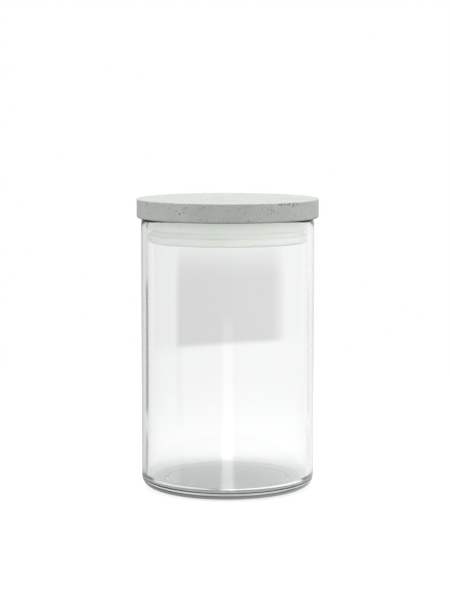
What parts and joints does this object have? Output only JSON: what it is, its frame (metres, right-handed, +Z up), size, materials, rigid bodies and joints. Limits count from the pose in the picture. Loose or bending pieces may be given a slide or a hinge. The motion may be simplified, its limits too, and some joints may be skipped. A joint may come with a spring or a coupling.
{
  "type": "storage jar",
  "caption": "Straight clear glass storage jar with a flat round concrete lid and a ribbed translucent silicone seal.",
  "frame": {"origin": "centre of the flat ring that the jar stands on", "axes": "+Z up along the jar's axis, X and Y level; the jar is round, so any side can face front"},
  "size_m": [0.105, 0.105, 0.1676],
  "materials": {
    "glass": "clear, smooth",
    "concrete": "pale grey cast concrete with fine pits and dark specks, matte",
    "silicone": "translucent greenish white, satin"
  },
  "bodies": {
    "root": {"glass_jar": "glass", "concrete_lid": "concrete", "silicone_seal": "silicone"}
  },
  "joints": []
}
